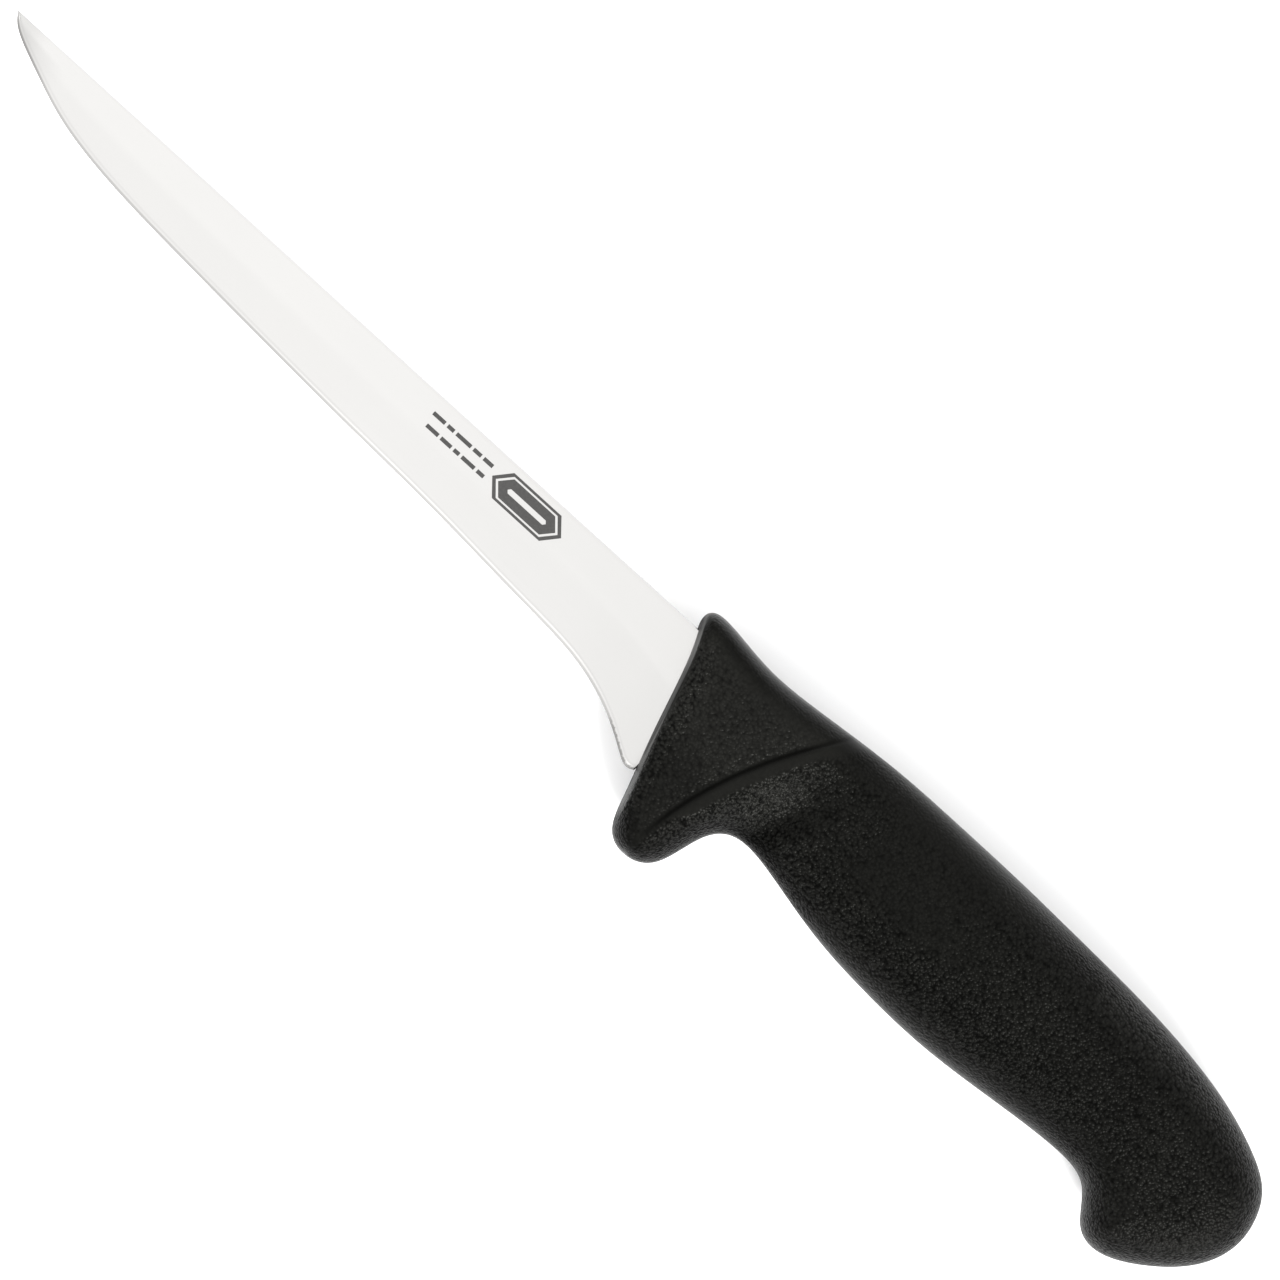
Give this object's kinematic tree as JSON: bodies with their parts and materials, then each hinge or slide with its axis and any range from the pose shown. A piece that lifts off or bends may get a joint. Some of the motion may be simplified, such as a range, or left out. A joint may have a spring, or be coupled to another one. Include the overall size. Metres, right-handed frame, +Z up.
{
  "type": "boning knife",
  "caption": "Stiff narrow blade with a hidden tang in a moulded handle with a finger guard, an index-finger groove and a hooked butt, for cutting meat off bone.",
  "frame": {"origin": "centre of the footprint of the whole knife, on the surface that it lies on", "axes": "+X along the blade towards the tip, +Y towards the cutting edge, +Z up out of the knife's side"},
  "size_m": [0.283, 0.0404, 0.0224],
  "materials": {
    "steel": "satin, fine lengthwise grain, dark etched mark",
    "grip_plastic": "moulded pebble grain, low sheen"
  },
  "bodies": {
    "root": {"blade": "steel", "handle": "grip_plastic"}
  },
  "joints": []
}
